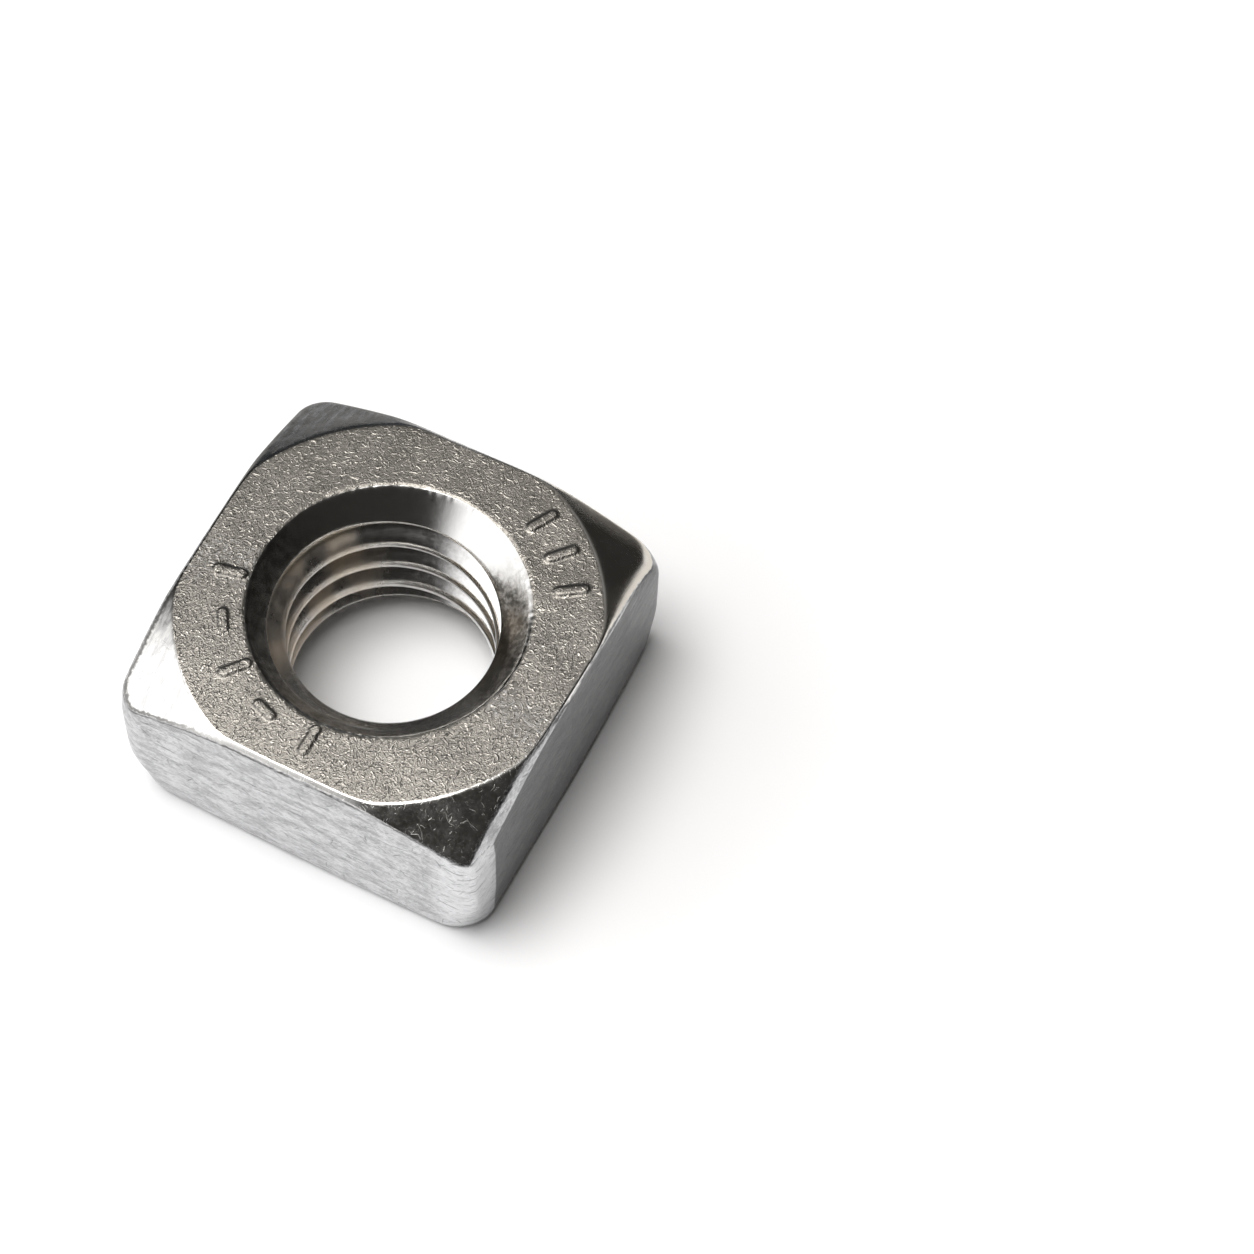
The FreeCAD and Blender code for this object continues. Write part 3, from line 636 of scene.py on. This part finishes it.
def bore_material():
    """Formed countersink and a rolled, polished thread, with a painted brown reflection on its left, painted light on
    its right and painted shade in parts of the countersink.
    """
    m, t, b = new_material("steel_bore")
    pos = t.vmath("SCALE", t.node("ShaderNodeTexCoord").outputs["Object"], scale=1000.0)
    cone = t.attr("on_cone")
    xyz = t.separate(pos)
    on_cone = t.range(cone, -0.01, 0.01)
    ring = t.noise(t.vmath("MULTIPLY", pos, (0.35, 0.35, 14.0)), 2.0, 2.0, 0.6)
    dots = t.noise(pos, 7.0, 3.0, 0.6)
    # painted reflection: the thread is given a brown, rougher tint on its left side
    painted_brown_reflection = t.math("MULTIPLY", t.range(xyz[0], -1.1, -2.2), t.range(t.noise(pos, 0.9, 2.0, 0.5), 0.25, 0.70))
    painted_brown_reflection = t.math("MULTIPLY", painted_brown_reflection, t.math("SUBTRACT", 1.0, on_cone))
    h = t.math("MULTIPLY_ADD", ring, t.mixf(on_cone, 1.2, 0.3), t.math("MULTIPLY", dots, t.mixf(on_cone, 1.0, 0.9)))
    n = t.bump(h, 1.4e-6, 1.0)
    r = t.math("MULTIPLY_ADD", dots, 0.12, 0.06)
    r = t.math("MULTIPLY_ADD", painted_brown_reflection, 0.28, r)
    r = t.math("MULTIPLY_ADD", t.math("MULTIPLY", t.range(xyz[0], 0.6, -0.8), t.math("SUBTRACT", 1.0, on_cone)), 0.09, r)
    r = t.math("MULTIPLY_ADD", on_cone, 0.07, r)
    mottle = t.noise(pos, 3.2, 4.0, 0.65)
    # painted shade: the countersink is darkened towards the front, in mottled patches
    cone_painted_shade_near = t.range(t.math("ADD", t.math("MULTIPLY", xyz[0], 0.15), xyz[1]), 2.1, -0.6)
    c_cone = t.mixc(t.math("MULTIPLY", cone_painted_shade_near, t.range(mottle, 0.64, 0.34, 0.45, 0.95)), (0.74, 0.73, 0.71), (0.20, 0.19, 0.175))
    worn = t.math("MULTIPLY", t.range(xyz[0], 1.4, 2.9), t.range(t.noise(pos, 4.5, 4.0, 0.68), 0.40, 0.58))
    c_cone = t.mixc(t.math("MULTIPLY", worn, 0.55), c_cone, (0.34, 0.325, 0.30))
    # on the right the lower part of the countersink gets painted shade, a dark colour, more of it towards the front
    ang = t.math("MULTIPLY", t.math("ARCTAN2", xyz[1], xyz[0]), 180.0 / math.pi)
    deep = t.math("MULTIPLY", t.math("SUBTRACT", THICK, xyz[2]), 48.0)
    edge = t.math("ADD", t.math("SUBTRACT", ang, deep), t.math("MULTIPLY", t.math("SUBTRACT", mottle, 0.5), 40.0))
    cone_painted_dark_right = t.math("MULTIPLY", t.range(edge, 29.0, 15.0), t.range(ang, -80.0, -40.0))
    c_cone = t.mixc(t.math("MULTIPLY", cone_painted_dark_right, t.range(dots, 0.62, 0.40, 0.55, 0.97)), c_cone, (0.13, 0.125, 0.116))
    # painted shade: a dark band where the countersink ends above the thread, on the front right
    depth = t.math("MULTIPLY", t.math("SUBTRACT", THICK - 0.45, xyz[2]), 130.0)
    edge2 = t.math("ADD", t.math("SUBTRACT", ang, depth), t.math("MULTIPLY", t.math("SUBTRACT", mottle, 0.5), 30.0))
    band = t.math("MULTIPLY", t.range(edge2, 8.0, -5.0), t.range(ang, -80.0, -40.0))
    band = t.math("MULTIPLY", band, t.range(xyz[2], 3.80, 3.95))
    # painted light: the thread is made much lighter towards the right (+X)
    c = t.mixc(on_cone, t.mixc(t.range(xyz[0], 0.2, 1.6), t.mixc(t.range(dots, 0.3, 0.7), (0.50, 0.49, 0.475), (0.64, 0.63, 0.62)), (0.88, 0.88, 0.87)), c_cone)
    c = t.mixc(painted_brown_reflection, c, (0.80, 0.70, 0.58))
    c = t.mixc(t.math("MULTIPLY", band, t.range(dots, 0.66, 0.50, 0.70, 0.94)), c, (0.085, 0.082, 0.076))
    metal(t, b, c, r, n)
    return m


nut = build_nut()
nut.data.materials.append(outside_material())
nut.data.materials.append(bore_material())
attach(nut, "root")
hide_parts("square_nut")


# ------------------------------------------------------------------ floor, world and lights
SOFTBOX = (1.55, 1.55, 1.57)
KEY = (8.5, 8.4, 8.3)
KEY_AT = (-0.21, -0.10, 0.97)          # nearly straight above, a little to the left
OVERHEAD = (0.20, 0.196, 0.19)
COOL = (0.105, 0.118, 0.137)
DIM = (0.027, 0.0255, 0.0235)


def make_floor():
    mesh = bpy.data.meshes.new("floor")
    s = 0.6
    mesh.from_pydata([(-s, -s, 0), (s, -s, 0), (s, s, 0), (-s, s, 0)], [], [(0, 1, 2, 3)])
    o = bpy.data.objects.new("floor", mesh)
    bpy.context.scene.collection.objects.link(o)
    m, t, b = new_material("pale_floor")
    b.inputs["Metallic"].default_value = 0.0
    b.inputs["Roughness"].default_value = 0.9
    b.inputs["Specular IOR Level"].default_value = 0.1
    b.inputs["Base Color"].default_value = (0.95, 0.95, 0.954, 1.0)
    mesh.materials.append(m)
    return o


def make_world():
    """A dim studio with one big softbox on the left and a soft glow overhead."""
    w = bpy.data.worlds.new("studio")
    bpy.context.scene.world = w
    w.use_nodes = True
    w.node_tree.nodes.clear()
    t = Tree(w.node_tree)
    out = t.node("ShaderNodeOutputWorld")
    d = t.node("ShaderNodeTexCoord").outputs["Generated"]
    dz = t.separate(d)[2]
    elev = t.math("MULTIPLY", t.math("ARCSINE", dz), 180.0 / math.pi)

    def round_glow(direction, inner, outer_, rgb):
        v = Vector(direction).normalized()
        c = t.vmath("DOT_PRODUCT", d, tuple(v))
        f = t.range(c, math.cos(math.radians(outer_)), math.cos(math.radians(inner)))
        return t.vmath("SCALE", rgb, scale=f)

    def panel(middle, right_edge, left_edge, low, high, rgb):
        """Azimuths in degrees counted from the panel's middle; each edge is (starts, full) or (full, ends)."""
        c, s_ = math.cos(math.radians(middle)), math.sin(math.radians(middle))
        px = t.vmath("DOT_PRODUCT", d, (c, s_, 0.0))
        py = t.vmath("DOT_PRODUCT", d, (-s_, c, 0.0))
        az = t.math("MULTIPLY", t.math("ARCTAN2", py, px), 180.0 / math.pi)
        f = t.math("MULTIPLY", t.range(az, *right_edge), t.range(az, left_edge[1], left_edge[0]))
        f = t.math("MULTIPLY", f, t.math("MULTIPLY", t.range(elev, *low), t.range(elev, high[1], high[0])))
        return t.vmath("SCALE", rgb, scale=f)

    total = None
    for v in (
        panel(211.0, (-53.0, -21.0), (28.0, 56.0), (-30.0, -10.0), (44.0, 62.0), SOFTBOX),
        round_glow(KEY_AT, 9, 25, KEY),
        round_glow((-0.20, 0.44, 0.88), 15, 52, OVERHEAD),
        round_glow((-0.55, 0.82, 0.12), 10, 38, COOL),
    ):
        total = v if total is None else t.vmath("ADD", total, v)
    total = t.vmath("ADD", total, DIM)
    bg = t.node("ShaderNodeBackground")
    t.put(bg.inputs["Color"], total)
    t.l.new(bg.outputs[0], out.inputs[0])


make_floor()
make_world()
bpy.context.scene.view_settings.view_transform = "Standard"
